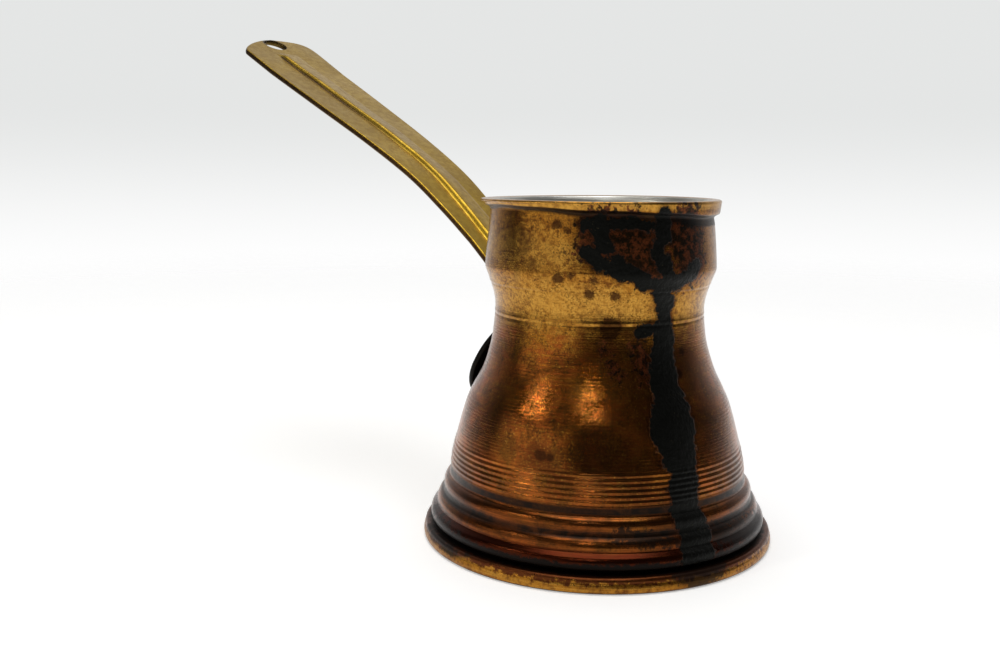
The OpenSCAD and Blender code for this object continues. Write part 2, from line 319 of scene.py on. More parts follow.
# ---------------------------------------------------------------------------------------------
# The bottom plate and its solder
# ---------------------------------------------------------------------------------------------
INNER_FOOT = BORE_R - 1.6
PLATE_OUT = resample(np.concatenate([
    [[FLANGE_R - 1.6, 0.0], [FLANGE_R - 0.8, 0.0]],
    arc((FLANGE_R - 0.75, 0.72), 0.72, -80, 0, 8),
    [[FLANGE_R, 1.15], [FLANGE_R - 0.12, 1.7], [FLANGE_R - 0.35, 2.15]],
    arc((FLANGE_R - 1.15, FLANGE_H - 0.8), 0.8, 12, 90, 8),
    [[37.0, FLANGE_H], [36.4, FLANGE_H - 0.02]]]), 0.2)
PLATE_PROFILE = np.concatenate([
    [[0, 0.0]], resample(np.array([[0.6, 0.0], [FLANGE_R - 1.8, 0.0]]), 0.5), PLATE_OUT,
    [[UPSTAND_R, FLANGE_H], [UPSTAND_R, UPSTAND_TOP], [BORE_R - 1, UPSTAND_TOP]],
    resample(np.array([[BORE_R - 1.1, UPSTAND_TOP - 0.05], [INNER_FOOT, FLOOR_H + 0.25],
                       [INNER_FOOT - 0.5, FLOOR_H]]), 0.4),
    resample(np.array([[INNER_FOOT - 1, FLOOR_H], [0.8, FLOOR_H]]), 0.8), [[0, FLOOR_H]]])


def plate_shape(r, z, angle):
    """Turning rings underneath and a slightly uneven, worn edge."""
    under = (z < 0.02) & (r < FLANGE_R - 1.5)
    z = z + np.where(under, 0.06 + 0.06 * np.sin(r * 2 * math.pi / 2.5), 0) * ramp(FLANGE_R - 3 - r, 0, 2)
    edge = ramp(r, 36.6, FLANGE_R - 0.3)
    r = r - edge * (0.10 + 0.07 * np.sin(3 * angle + 2) + 0.04 * np.sin(8 * angle) * ramp(z, 0.4, 2))
    return r, z


def plate_slot(a, b):
    """0 outside and 1 on the tinned inside."""
    return 1 if (a[0] + b[0]) / 2 < BORE_R and (a[1] + b[1]) / 2 > FLOOR_H - 0.1 else 0


plate = turned("bottom_plate_turned", PLATE_PROFILE, 240, plate_shape, plate_slot, closed=False)
paint_turned(plate)

SEAM_PROFILE = np.concatenate([
    [[BORE_R - 0.02, UPSTAND_TOP + 0.02]], arc((BORE_R - 1, UPSTAND_TOP + 1), 1, -88, -2, 8)])


def seam_shape(r, z, angle):
    """Solder that flowed unevenly round the corner."""
    swell = 0.10 * (np.sin(9 * angle) + np.sin(23 * angle + 1)) * bell(r, BORE_R - 0.3, 0.5)
    return r - np.abs(swell), z + 0.5 * np.abs(swell)


seam = turned("solder_ring", SEAM_PROFILE, 240, seam_shape)

# ---------------------------------------------------------------------------------------------
# The strap handle
# ---------------------------------------------------------------------------------------------
REACH, FLAT_RUN, END_SLOPE = 131.3, 21.3, math.radians(27.4)
NECK_W, TIP_W, WIDEN_FROM, FLARE = 15.6, 26.2, 33.8, 1.6
PAD_D, PAD_Z, PAD_RISE = 24.4, 35.0, 0.44 * 24.4
BLUNT_LEN, BLUNT_POWER, SLIM_LEN, SLIM_POWER = 11.7, 4.75, 8.7, 1.4
HOLE_R, HOLE_BACK = 3.2, 4.6
RIB_H, RIB_FROM_Z, RIB_FULL_Z = 0.92, WAIST_Z + 8.5, WAIST_Z + 12
EDGE = 0.48  # how far in the rounding of the strap's edges starts
pad_zs = np.arange(PAD_Z - PAD_RISE, WAIST_Z + 1.4, 0.6)
bend_end = np.array([REACH - FLAT_RUN, 108.1])
tip_end = bend_end + FLAT_RUN * np.array([1, math.tan(END_SLOPE)])
MID_REACH = REACH - 0.3  # how far the middle of the thickness reaches
end_cut = REACH - MID_REACH + STRAP_T / 2 * math.sin(END_SLOPE)
strap_end = tip_end - end_cut * np.array([1, math.tan(END_SLOPE)])
bend = smooth_curve([
    [float(body_r(53.4)) + SLIP, 53.4], [WAIST_R + 0.95, 55.8], [WAIST_R + 2.5, 57.95],
    [WAIST_R + 5, 60.3], [WAIST_R + 10.9, 65.2], [WAIST_R + 19.8, 72.2], [WAIST_R + 31, 80],
    [WAIST_R + 46.8, 88.6], [WAIST_R + 67.1, 98.5], list(bend_end)], 16)
strap_line = np.concatenate([
    np.stack([body_r(pad_zs) + SLIP, pad_zs], 1), bend,
    [bend_end + 0.25 * (tip_end - bend_end), strap_end]])
strap_line = resample(strap_line, 0.25)
# Rounds off what is left of the corners of the side view, ends kept
for _ in range(24):
    strap_line[1:-1] = 0.25 * strap_line[:-2] + 0.5 * strap_line[1:-1] + 0.25 * strap_line[2:]
line_s = np.concatenate([[0], np.cumsum(np.hypot(*np.diff(strap_line, axis=0).T))])
STRAP_LEN = line_s[-1]


def strap_at(s):
    """Reach, height and heading of the pot side of the strap at a distance s along it."""
    x, z = np.interp(s, line_s, strap_line[:, 0]), np.interp(s, line_s, strap_line[:, 1])
    lo, hi = np.clip(s - 0.5, 0, STRAP_LEN), np.clip(s + 0.5, 0, STRAP_LEN)
    dx = np.interp(hi, line_s, strap_line[:, 0]) - np.interp(lo, line_s, strap_line[:, 0])
    dz = np.interp(hi, line_s, strap_line[:, 1]) - np.interp(lo, line_s, strap_line[:, 1])
    return x, z, np.arctan2(dz, dx)


def half_width(s, side):
    """Half the width on the +Y side (side 1) or the -Y side (side -1)."""
    x, z, heading = strap_at(s)
    x = x + STRAP_T / 2 * np.sin(heading)
    u = np.maximum(0, x - WIDEN_FROM) / (MID_REACH - WIDEN_FROM)
    strap = (NECK_W + (TIP_W - NECK_W) * u * (FLARE - (FLARE - 1) * u)) / 2
    length, power = (BLUNT_LEN, BLUNT_POWER) if side > 0 else (SLIM_LEN, SLIM_POWER)
    e = np.clip((x - (MID_REACH - length)) / length, 0, 1)
    strap = strap * (1 - e ** power) ** (1 / power)
    pad = PAD_D / 2 * np.sqrt(np.clip(1 - ((z - PAD_Z) / PAD_RISE) ** 2, 0, 1))
    joined = 0.5 * (pad + NECK_W / 2 + np.sqrt((pad - NECK_W / 2) ** 2 + 0.5))
    lower = np.where(z < PAD_Z, pad, joined)
    return np.where(z < WAIST_Z - 1, lower, strap)


def rib_feet(x):
    """Where the crisp -Y foot and the soft +Y foot of the rib lie, by reach."""
    crisp = np.interp(x, [36, 62, 95, 118], [-3.0, -2.0, -2.6, -3.4])
    soft = np.interp(x, [36, 70, 118], [3.0, 3.3, 3.2])
    return crisp, soft


def rib_height(x, z, y):
    """How far the rib stands above the strap, with the fine ditch along its crisp foot."""
    near, far = rib_feet(x)
    start = ramp(z, RIB_FROM_Z, RIB_FULL_Z)
    end = 1 - ramp(x, REACH - 13.5, REACH - 9.5)
    rise = ramp(y, near - 0.12, near + 0.95)
    fall = 1 - ramp(y, near + 0.9, far + 0.5)
    ditch = -0.10 * bell(y, near - 0.22, 0.22)
    return (RIB_H * rise * (0.25 + 0.75 * fall) * (1 - ramp(y, far - 0.5, far + 0.6)) + ditch) * start * end


def even_out(n):
    """0 to 1 in n steps, closer together near both ends."""
    t = np.linspace(0, 1, n)
    return 0.5 - 0.5 * np.cos(math.pi * t)


PAD_END, FREE_END = 2.5, 10  # the lengths at either end that get closer rows
stations = np.unique(np.concatenate([
    PAD_END * even_out(40), np.arange(PAD_END, STRAP_LEN - FREE_END, 0.45),
    STRAP_LEN - FREE_END + FREE_END * even_out(150)]).round(5))
across = np.sin(np.linspace(-1, 1, 97) * math.pi / 2)
rows_x, rows_z, rows_a = strap_at(stations)
w_plus, w_minus = half_width(stations, 1), half_width(stations, -1)
taper_plus = np.abs(np.gradient(w_plus, stations))
taper_minus = np.abs(np.gradient(w_minus, stations))
top, under, crease, crease_under = [], [], [], []
for i in range(len(stations)):
    w = np.where(across > 0, w_plus[i], w_minus[i])
    y = across * w
    taper = np.where(across > 0, taper_plus[i], taper_minus[i])
    inset = (w - np.abs(y)) / np.sqrt(1 + taper ** 2)
    d = np.clip((EDGE - inset) / EDGE, 0, 1)
    half = STRAP_T / 2 * np.sqrt(1 - d * d)
    mid_x = rows_x[i] + STRAP_T / 2 * math.sin(rows_a[i])
    mid_z = rows_z[i] - STRAP_T / 2 * math.cos(rows_a[i])
    bump = rib_height(rows_x[i], rows_z[i], y) * ramp(inset, 0.2, 1.2)
    wavy = 0.05 * np.sin(stations[i] * 0.21 + 0.2 * y) * ramp(inset, 0, 3) * ramp(rows_x[i], 40, 60)
    up = half + bump + wavy
    down = half + 0.3 * wavy
    sin_a, cos_a = math.sin(rows_a[i]), math.cos(rows_a[i])
    top.append(np.stack([-(mid_x - up * sin_a), y, mid_z + up * cos_a], 1))
    under.append(np.stack([-(mid_x + down * sin_a), y, mid_z - down * cos_a], 1))
    near, _ = rib_feet(rows_x[i])
    on = ramp(rows_z[i], RIB_FROM_Z, RIB_FULL_Z) * (1 - ramp(rows_x[i], REACH - 13.5, REACH - 10))
    # Painted shade on the -Y edge of the strap and in the crease along the rib's crisp foot
    side_shade = 0.85 * (1 - ramp(inset, 0.05, 0.34)) * ramp(-y, -1, 1)
    crease_here = bell(y, near + 0.02, 0.33) * on * np.interp(rows_x[i], [40, 70, 90], [0.3, 0.55, 1])
    crease.append(np.maximum(crease_here, side_shade))
    crease_under.append(side_shade)
under, crease_under = np.array(under)[:, 1:-1], np.array(crease_under)[:, 1:-1]
loop = np.concatenate([np.array(top), under[:, ::-1]], 1)
loop_n = loop.shape[1]
grid = np.arange(len(stations) * loop_n).reshape(len(stations), loop_n)
strap_faces = []
for i in range(len(stations) - 1):
    for k in range(loop_n):
        m = (k + 1) % loop_n
        strap_faces.append([grid[i, k], grid[i + 1, k], grid[i + 1, m], grid[i, m]])
handle = new_mesh("strap_handle", loop.reshape(-1, 3), strap_faces)
add_field(handle, "crease", np.concatenate([np.array(crease), crease_under[:, ::-1]], 1).ravel())


def tidy_mesh(obj, gap):
    """Joins vertices that lie together and drops what has no area."""
    bm = bmesh.new()
    bm.from_mesh(obj.data)
    bmesh.ops.remove_doubles(bm, verts=bm.verts, dist=gap)
    bmesh.ops.dissolve_degenerate(bm, dist=gap * 0.5, edges=bm.edges)
    bmesh.ops.recalc_face_normals(bm, faces=bm.faces)
    bm.to_mesh(obj.data)
    bm.free()
    obj.data.polygons.foreach_set("use_smooth", [True] * len(obj.data.polygons))
    obj.data.update()


tidy_mesh(handle, 2e-6)

# The hanging hole, with its edges eased
hole_at = tip_end - HOLE_BACK * np.array([math.cos(END_SLOPE), math.sin(END_SLOPE)])
hole_mid = hole_at + STRAP_T / 2 * np.array([math.sin(END_SLOPE), -math.cos(END_SLOPE)])
cutter_profile = np.array([
    [0, -3], [HOLE_R + 2.2, -3], [HOLE_R + 0.32, -0.78], [HOLE_R + 0.12, -0.62], [HOLE_R, -0.4],
    [HOLE_R, 0.4], [HOLE_R + 0.12, 0.62], [HOLE_R + 0.32, 0.78], [HOLE_R + 2.2, 3], [0, 3]])
cutter = turned("hole_cutter", cutter_profile, 72, closed=False)
tidy_mesh(cutter, 1e-7)
cutter.data.transform(Matrix.Translation(Vector((-hole_mid[0], 0, hole_mid[1])) * MM)
                      @ Matrix.Rotation(END_SLOPE, 4, "Y"))
cut = handle.modifiers.new("hang_hole", "BOOLEAN")
cut.operation, cut.solver, cut.object = "DIFFERENCE", "EXACT", cutter
bpy.context.view_layer.update()
result = bpy.data.meshes.new_from_object(handle.evaluated_get(bpy.context.evaluated_depsgraph_get()))
handle.modifiers.clear()
handle.data = result
bpy.data.objects.remove(cutter)
handle.data.polygons.foreach_set("use_smooth", [True] * len(handle.data.polygons))


# ---------------------------------------------------------------------------------------------
# The rivets
# ---------------------------------------------------------------------------------------------
def rivet(name, height, seed):
    """A hammered rivet through strap and wall: outer dome, shank and flatter inner head."""
    lean = body_lean(height)
    inside = -WALL * math.cos(lean) - 0.25
    outer = STRAP_T + 2 * SLIP
    dome = [[0, outer + 1.5], [0.8, outer + 1.47], [1.5, outer + 1.36], [2.1, outer + 1.12],
            [2.65, outer + 0.78], [3.0, outer + 0.42], [3.16, outer + 0.16], [3.12, outer + 0.02],
            [2.9, outer]]
    tail = [[2.5, inside], [2.74, inside - 0.06], [2.76, inside - 0.2], [2.55, inside - 0.48],
            [2.0, inside - 0.78], [1.2, inside - 0.95], [0, inside - 1.0]]
    profile = np.concatenate([
        [dome[0]], resample(np.array(dome[1:]), 0.22), [[1.5, outer - 0.02], [1.5, inside + 0.02]],
        resample(np.array(tail[:-1]), 0.3), [tail[-1]]])
    obj = turned(name, profile, 48, closed=False)
    co = np.array([v.co for v in obj.data.vertices]) / MM
    out = co[:, 2] > outer + 0.05
    dents = np.zeros(len(co))
    for k in range(7):
        a, far = 2.4 * k + seed, 0.5 + 0.33 * k
        cx, cy = far * math.cos(a), far * math.sin(a)
        dents += bell(np.hypot(co[:, 0] - cx, co[:, 1] - cy), 0, 0.75)
    co[:, 2] -= np.where(out, 0.10 * dents, 0)
    co[:, 0] *= 1 + 0.03 * math.sin(seed)
    obj.data.vertices.foreach_set("co", (co * MM).astype(np.float32).ravel())
    turn = Matrix.Rotation(lean - math.pi / 2, 4, "Y")
    place = Matrix.Translation(Vector((-float(body_r(height)), 0, height)) * MM)
    obj.data.transform(place @ turn)
    tidy_mesh(obj, 1e-7)
    return obj


rivets = [
    rivet("rivet_waist_hammered", 49.6, 0.4), rivet("rivet_pad_upper_hammered", 40.4, 1.7),
    rivet("rivet_pad_lower_hammered", 30.6, 2.9)]


# ---------------------------------------------------------------------------------------------
# Materials
# ---------------------------------------------------------------------------------------------
class Nodes:
    """Builds a node material step by step. Positions inside it are in millimetres."""

    def __init__(self, name):
        self.material = bpy.data.materials.new(name)
        self.material.use_nodes = True
        self.tree = self.material.node_tree
        self.tree.nodes.clear()
        self.out = self.tree.nodes.new("ShaderNodeOutputMaterial")
        self.shader = self.tree.nodes.new("ShaderNodeBsdfPrincipled")
        self.tree.links.new(self.shader.outputs[0], self.out.inputs[0])
        coords = self.tree.nodes.new("ShaderNodeTexCoord")
        self.place = self.vector("SCALE", coords.outputs["Object"], 1000.0)
        split = self.tree.nodes.new("ShaderNodeSeparateXYZ")
        self.tree.links.new(self.place, split.inputs[0])
        self.x, self.y, self.z = split.outputs

    def put(self, socket, value):
        if isinstance(value, bpy.types.NodeSocket):
            self.tree.links.new(value, socket)
        elif isinstance(value, tuple) and len(value) == 3 and socket.type == "RGBA":
            socket.default_value = (*value, 1.0)
        else:
            socket.default_value = value

    def math(self, op, a, b=0.0, c=0.0):
        n = self.tree.nodes.new("ShaderNodeMath")
        n.operation = op
        for socket, value in zip(n.inputs, (a, b, c)):
            self.put(socket, value)
        return n.outputs[0]

    def vector(self, op, a, b):
        n = self.tree.nodes.new("ShaderNodeVectorMath")
        n.operation = op
        self.put(n.inputs[0], a)
        self.put(n.inputs["Scale"] if op == "SCALE" else n.inputs[1], b)
        return n.outputs[0]

    def ramp(self, value, low, high, to_low=0.0, to_high=1.0):
        n = self.tree.nodes.new("ShaderNodeMapRange")
        n.interpolation_type = "SMOOTHSTEP"
        for key, v in (("Value", value), ("From Min", low), ("From Max", high),
                       ("To Min", to_low), ("To Max", to_high)):
            self.put(n.inputs[key], v)
        return n.outputs[0]

    def noise(self, scale, detail=4.0, rough=0.55, stretch=(1, 1, 1), shift=0.0, warp=0.0):
        """Noise from 0 to 1 whose features are about 1 / scale millimetres across."""
        at = self.vector("MULTIPLY", self.place, stretch)
        if shift:
            at = self.vector("ADD", at, (shift, shift * 0.7, -shift))
        n = self.tree.nodes.new("ShaderNodeTexNoise")
        self.put(n.inputs["Vector"], at)
        n.inputs["Scale"].default_value = scale
        n.inputs["Detail"].default_value = detail
        n.inputs["Roughness"].default_value = rough
        n.inputs["Distortion"].default_value = warp
        return n.outputs["Fac"]

    def cells(self, scale, shift=0.0):
        at = self.vector("ADD", self.place, (shift, shift, shift))
        n = self.tree.nodes.new("ShaderNodeTexVoronoi")
        self.put(n.inputs["Vector"], at)
        n.inputs["Scale"].default_value = scale
        return n.outputs["Distance"]

    def field(self, name):
        n = self.tree.nodes.new("ShaderNodeAttribute")
        n.attribute_name = name
        return n.outputs["Fac"]

    def mix(self, share, a, b):
        n = self.tree.nodes.new("ShaderNodeMix")
        n.data_type = "RGBA"
        self.put(n.inputs["Factor"], share)
        self.put(n.inputs[6], a)
        self.put(n.inputs[7], b)
        return n.outputs[2]

    def blend(self, share, a, b):
        n = self.tree.nodes.new("ShaderNodeMix")
        n.data_type = "FLOAT"
        self.put(n.inputs["Factor"], share)
        self.put(n.inputs[2], a)
        self.put(n.inputs[3], b)
        return n.outputs[0]

    def length(self, a, b):
        return self.math("SQRT", self.math("ADD", self.both(a, a), self.both(b, b)))

    def both(self, *values):
        """The values multiplied together."""
        out = values[0]
        for v in values[1:]:
            out = self.math("MULTIPLY", out, v)
        return out

    def bump(self, height, distance, strength=1.0, normal=None):
        """Height is from 0 to 1, and distance is its full depth in millimetres."""
        n = self.tree.nodes.new("ShaderNodeBump")
        n.inputs["Strength"].default_value = strength
        n.inputs["Distance"].default_value = distance * MM
        self.put(n.inputs["Height"], height)
        if normal is not None:
            self.put(n.inputs["Normal"], normal)
        return n.outputs[0]

    def finish(self, colour, rough, metal, normal=None, **fixed):
        self.put(self.shader.inputs["Base Color"], colour)
        self.put(self.shader.inputs["Roughness"], rough)
        self.put(self.shader.inputs["Metallic"], metal)
        if normal is not None:
            self.put(self.shader.inputs["Normal"], normal)
        for key, value in fixed.items():
            self.shader.inputs[key.replace("_", " ")].default_value = value
        return self.material


GOLD = (0.52, 0.275, 0.05)
OLD_GOLD = (0.36, 0.15, 0.018)
BROWN = (0.13, 0.042, 0.009)
COPPER_RED = (0.30, 0.075, 0.014)
DARK_BROWN = (0.035, 0.012, 0.005)
SOOT_AND_SHADE = (0.004, 0.003, 0.002)
COFFEE_BLACK = (0.003, 0.0032, 0.0022)
GROUNDS = (0.10, 0.085, 0.05)
BURNT_RED = (0.12, 0.03, 0.010)
FOOT_RED = (0.045, 0.007, 0.003)
FLANGE_RED = (0.085, 0.022, 0.008)
FADE_FROM, FADE_TO, FLOOR_R = 200.0, 850.0, 1000.0


def body_brass():
    """Old turned brass: gold round the waist, red-brown on the belly, with stains, sooty patches, painted
    shade, painted highlights and tool marks.
    """
    n = Nodes("tarnished_brass_body")
    broad = n.noise(0.09, 3, 0.5, shift=11)
    patch = n.noise(0.28, 4, 0.6, shift=31, warp=0.4)
    mid = n.noise(0.9, 5, 0.65, shift=5)
    fine = n.noise(3.2, 4, 0.7, shift=71)
    streak = n.noise(1.0, 4, 0.6, stretch=(0.06, 0.06, 2.2), shift=3)
    hair = n.noise(1.0, 3, 0.6, stretch=(0.10, 0.10, 6.0), shift=9)
    belly = n.math("SUBTRACT", 1.0, n.ramp(n.math("ADD", n.z, n.ramp(patch, 0.2, 0.8, -4, 4)), 42.0, 50.5))
    # Gold patches: gold bands with painted highlights and a painted reflection
    gold_and_highlight = n.ramp(n.math("ADD", n.field("gold_and_highlight"), n.ramp(mid, 0.3, 0.7, -2.0, 2.0)), 4.0, -2.5)
    colour = n.mix(n.ramp(n.math("ADD", mid, n.math("MULTIPLY", broad, 0.5)), 0.66, 1.0), OLD_GOLD, BROWN)
    gold_share = n.both(gold_and_highlight, n.ramp(fine, 0.30, 0.60, 0.25, 1.0), n.ramp(mid, 0.40, 0.62, 0.9, 0.45))
    colour = n.mix(gold_share, colour, GOLD)
    red = n.mix(n.ramp(patch, 0.38, 0.66), COPPER_RED, BROWN)
    gold_streaks = n.both(n.ramp(streak, 0.46, 0.64), n.ramp(mid, 0.35, 0.6, 0.85, 0.3),
                          n.ramp(patch, 0.6, 0.4, 0.35, 1.0), n.ramp(n.z, 24.0, 33.0, 0.3, 1.0))
    red = n.mix(gold_streaks, red, OLD_GOLD)
    colour = n.mix(n.both(belly, n.ramp(broad, 0.3, 0.6, 0.72, 1.0)), colour, red)
    # Painted shade: dark brown patches from the shade capsules
    shade = n.ramp(n.math("ADD", n.field("shade"), n.ramp(patch, 0.3, 0.7, -2.5, 2.5)), 3.0, -3.0)
    colour = n.mix(n.both(shade, 0.66), colour, DARK_BROWN)
    flecks = n.both(n.ramp(fine, 0.46, 0.34), n.ramp(mid, 0.35, 0.6, 0.85, 0.3),
                    n.ramp(n.z, 12.0, 20.0, 0.2, 1.0))
    colour = n.mix(flecks, colour, GOLD)
    foot = n.math("SUBTRACT", 1.0, n.ramp(n.z, 14.0, 17.0))
    colour = n.mix(n.both(foot, n.ramp(streak, 0.4, 0.6, 0.2, 0.72)), colour, DARK_BROWN)
    colour = n.mix(n.both(n.ramp(n.z, 8.2, 7.0), 0.94), colour, FOOT_RED)
    speck = n.ramp(n.noise(2.6, 5, 0.8, shift=83), 0.50, 0.59)
    colour = n.mix(n.both(speck, n.ramp(patch, 0.35, 0.62, 0.30, 0.85)), colour, DARK_BROWN)
    colour = n.mix(n.both(n.ramp(hair, 0.56, 0.74), 0.45), colour, BROWN)
    # Lighter gold on the lip, partly a painted highlight along the rim
    on_lip = n.both(n.ramp(n.z, LIP_Z + 0.1, LIP_Z + 0.6), n.ramp(mid, 0.35, 0.65, 0.9, 0.3))
    colour = n.mix(on_lip, colour, GOLD)
    spots = n.ramp(n.math("ADD", n.field("spots"), n.ramp(fine, 0.3, 0.7, -0.35, 0.35)), 0.35, -0.15)
    colour = n.mix(n.both(spots, 0.88), colour, DARK_BROWN)
    burnt = n.ramp(n.math("ADD", n.field("burnt"), n.ramp(mid, 0.3, 0.7, -2.2, 2.2)), 0.9, -0.9)
    scorched = n.mix(n.ramp(n.noise(0.55, 6, 0.75, shift=44), 0.42, 0.56), BURNT_RED, COFFEE_BLACK)
    colour = n.mix(n.both(burnt, 0.96), colour, scorched)
    # Painted shade: black in the hollows of the foot and a dark line under the lip; the scorch patches add
    # soot
    groove = n.ramp(n.math("ADD", n.z, n.ramp(mid, 0.3, 0.7, -0.4, 0.4)), 6.0, 5.2)
    cove = n.both(n.ramp(n.z, 9.3, 10.0), n.ramp(n.z, 10.7, 11.5, 1.0, 0.0),
                  n.ramp(patch, 0.35, 0.6, 0.78, 1.0))
    cove_high = n.both(n.ramp(n.z, 13.7, 14.3), n.ramp(n.z, 15.1, 15.9, 1.0, 0.0),
                       n.ramp(patch, 0.4, 0.65, 1.0, 0.75))
    scorch_noise = n.math("ADD", n.field("scorch"), n.ramp(mid, 0.3, 0.7, -1.0, 1.0))
    scorch = n.ramp(scorch_noise, 0.8, -0.5)
    hollows = n.math("MAXIMUM", groove, cove)
    soot_and_shade = n.math("MAXIMUM", hollows, n.math("MAXIMUM", cove_high, n.both(scorch, 0.9)))
    drop = n.field("drop")
    lip_z = n.math("ADD", n.z, n.math("ADD", drop, -LIP_RAISED))
    # A painted shade line under the lip
    under_lip = n.both(n.ramp(n.math("ADD", lip_z, n.both(drop, 0.8)), LIP_Z - 1.1, LIP_Z - 0.5),
                       n.ramp(lip_z, LIP_Z - 0.05, LIP_Z + 0.25, 0.94, 0.0))
    soot_and_shade = n.math("MAXIMUM", soot_and_shade, under_lip)
    colour = n.mix(n.both(soot_and_shade, n.ramp(fine, 0.2, 0.6, 1.0, 0.96)), colour, SOOT_AND_SHADE)
    coffee_edge = n.math("ADD", n.field("coffee"), n.ramp(mid, 0.3, 0.7, -0.4, 0.4))
    coffee_edge = n.math("ADD", coffee_edge, n.ramp(fine, 0.3, 0.7, -0.12, 0.12))
    coffee = n.ramp(coffee_edge, 0.14, -0.16)
    crumbs = n.ramp(n.cells(1.1, 3), 0.05, 0.16, 1.0, 0.0)
    coffee_colour = n.mix(n.both(crumbs, n.ramp(patch, 0.5, 0.6), 0.5), COFFEE_BLACK, GROUNDS)
    halo = n.both(n.ramp(coffee_edge, 0.9, 0.1), n.ramp(patch, 0.4, 0.6, 0.9, 0.5))
    colour = n.mix(halo, colour, DARK_BROWN)
    colour = n.mix(coffee, colour, coffee_colour)
    covered = n.math("MAXIMUM", coffee, n.math("MAXIMUM", n.both(soot_and_shade, 0.9), n.both(burnt, 0.6)))
    metal = n.math("SUBTRACT", 1.0, n.both(covered, 0.3))
    rough = n.ramp(n.math("ADD", n.both(mid, 0.6), n.both(fine, 0.4)), 0.3, 0.7, 0.11, 0.24)
    rough = n.blend(covered, rough, n.ramp(fine, 0.3, 0.7, 0.30, 0.46))
    turned_lines = n.math("ADD", n.both(streak, 0.5), n.both(hair, 0.5))
    lines = n.bump(n.both(turned_lines, n.math("SUBTRACT", 1.0, coffee)), 0.04)
    pits = n.bump(n.math("ADD", n.both(fine, 0.7), n.both(mid, 0.3)), 0.034, 1.0, lines)
    crust = n.bump(n.both(coffee, n.ramp(mid, 0.2, 0.8, 0.5, 1.0)), 0.22, 1.0, pits)
    return n.finish(colour, rough, metal, crust, Specular_IOR_Level=0.22)


def base_brass():
    """The flange: redder and darker on top, gold along its edge, with painted shade where the body sits and
    a painted shadow along the bottom edge.
    """
    n = Nodes("tarnished_brass_base")
    mid = n.noise(0.8, 5, 0.65, shift=15)
    fine = n.noise(3.0, 4, 0.7, shift=21)
    streak = n.noise(1.0, 4, 0.6, stretch=(0.10, 0.10, 2.6), shift=13)
    height = n.math("ADD", n.z, n.ramp(mid, 0.25, 0.75, -0.9, 0.9))
    colour = n.mix(n.ramp(mid, 0.42, 0.72), OLD_GOLD, BROWN)
    colour = n.mix(n.both(n.ramp(streak, 0.48, 0.66), 0.45), colour, GOLD)
    colour = n.mix(n.both(n.ramp(height, 1.6, 2.4), 0.95), colour, FLANGE_RED)
    colour = n.mix(n.both(n.ramp(fine, 0.56, 0.70), 0.6), colour, DARK_BROWN)
    radius = n.length(n.x, n.y)
    # Painted shade with soot where the body sits on the flange, and a painted shadow along the bottom edge
    seat_edge = n.math("ADD", radius, n.ramp(mid, 0.3, 0.7, -0.5, 0.5))
    seat = n.both(n.ramp(seat_edge, 38.2, 37.0), n.ramp(n.z, 2.6, 3.1))
    low = n.both(n.ramp(n.z, 0.5, 0.2), n.ramp(radius, 37.8, 38.4))
    soot_and_shade = n.math("MAXIMUM", n.both(seat, 0.95), n.both(low, 0.8))
    coffee_edge = n.math("ADD", n.field("coffee"), n.ramp(mid, 0.3, 0.7, -1.3, 1.3))
    soot_and_shade = n.math("MAXIMUM", soot_and_shade, n.both(n.ramp(coffee_edge, 3.2, 1.8), 0.85))
    grime_and_shade = n.math("ADD", n.field("scorch"), n.ramp(mid, 0.3, 0.7, -1.0, 1.0))
    soot_and_shade = n.math("MAXIMUM", soot_and_shade, n.both(n.ramp(grime_and_shade, 1.0, -0.6), 0.9))
    burnt_on = n.ramp(n.noise(0.06, 6, 0.7, shift=8, warp=0.5), 0.32, 0.56)
    under = n.both(n.ramp(n.z, 0.5, 0.3), burnt_on, n.ramp(radius, 37.8, 36.5))
    soot_and_shade = n.math("MAXIMUM", soot_and_shade, n.both(under, 0.88))
    colour = n.mix(soot_and_shade, colour, SOOT_AND_SHADE)
    metal = n.math("SUBTRACT", 1.0, n.both(soot_and_shade, 0.3))
    rough = n.blend(soot_and_shade, n.ramp(mid, 0.3, 0.7, 0.24, 0.4), 0.5)
    rings = n.tree.nodes.new("ShaderNodeTexWave")
    rings.wave_type, rings.rings_direction = "RINGS", "Z"
    n.put(rings.inputs["Vector"], n.place)
    rings.inputs["Scale"].default_value = 0.9
    rings.inputs["Distortion"].default_value = 0.6
    rings.inputs["Detail"].default_value = 2.0
    below = n.ramp(n.z, 0.4, 0.2)
    lines = n.bump(n.blend(below, streak, rings.outputs["Fac"]), 0.07)
    pits = n.bump(n.math("ADD", n.both(fine, 0.5), n.both(mid, 0.5)), 0.06, 1.0, lines)
    return n.finish(colour, rough, metal, pits, Specular_IOR_Level=0.22)


